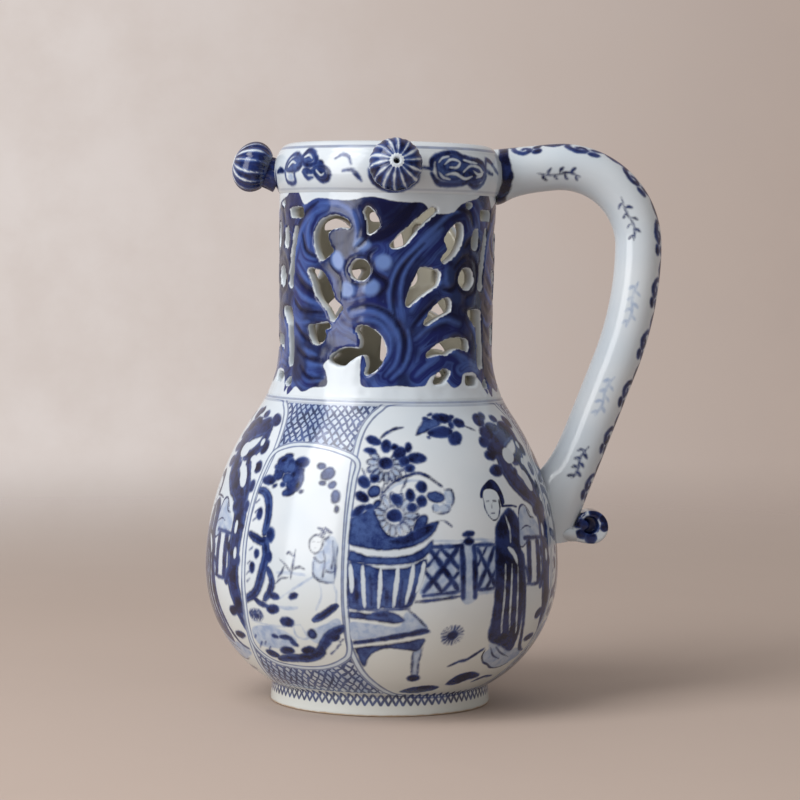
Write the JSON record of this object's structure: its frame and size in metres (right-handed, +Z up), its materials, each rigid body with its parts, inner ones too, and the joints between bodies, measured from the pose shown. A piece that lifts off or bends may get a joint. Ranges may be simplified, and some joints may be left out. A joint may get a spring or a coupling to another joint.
{
  "type": "puzzle jug",
  "caption": "Porcelain puzzle jug with a carved openwork neck, hollow handle and hollow rim that lead the drink to bored knob spouts, painted in underglaze blue",
  "frame": {"origin": "centre of the foot ring's underside, on the jug's axis", "axes": "+Z up along the jug's axis, +X towards the handle, -Y towards the front spout"},
  "size_m": [0.1751, 0.1366, 0.2169],
  "materials": {
    "painted_body": "glossy clear glaze over cobalt painting",
    "painted_neck": "glossy clear glaze over a streaky cobalt wash",
    "painted_rim": "glossy clear glaze over cobalt painting",
    "painted_spout": "glossy clear glaze over cobalt stripes",
    "painted_handle": "glossy clear glaze over cobalt sprigs"
  },
  "bodies": {
    "root": {"lower_body": "painted_body", "upper_body": "painted_body", "pierced_neck": "painted_neck", "rim_trough": "painted_rim", "rim_cover": "painted_rim", "front_spout": "painted_spout", "left_spout": "painted_spout", "rear_spout": "painted_spout", "handle_near_half": "painted_handle", "handle_far_half": "painted_handle", "handle_scroll": "painted_handle"}
  },
  "joints": []
}
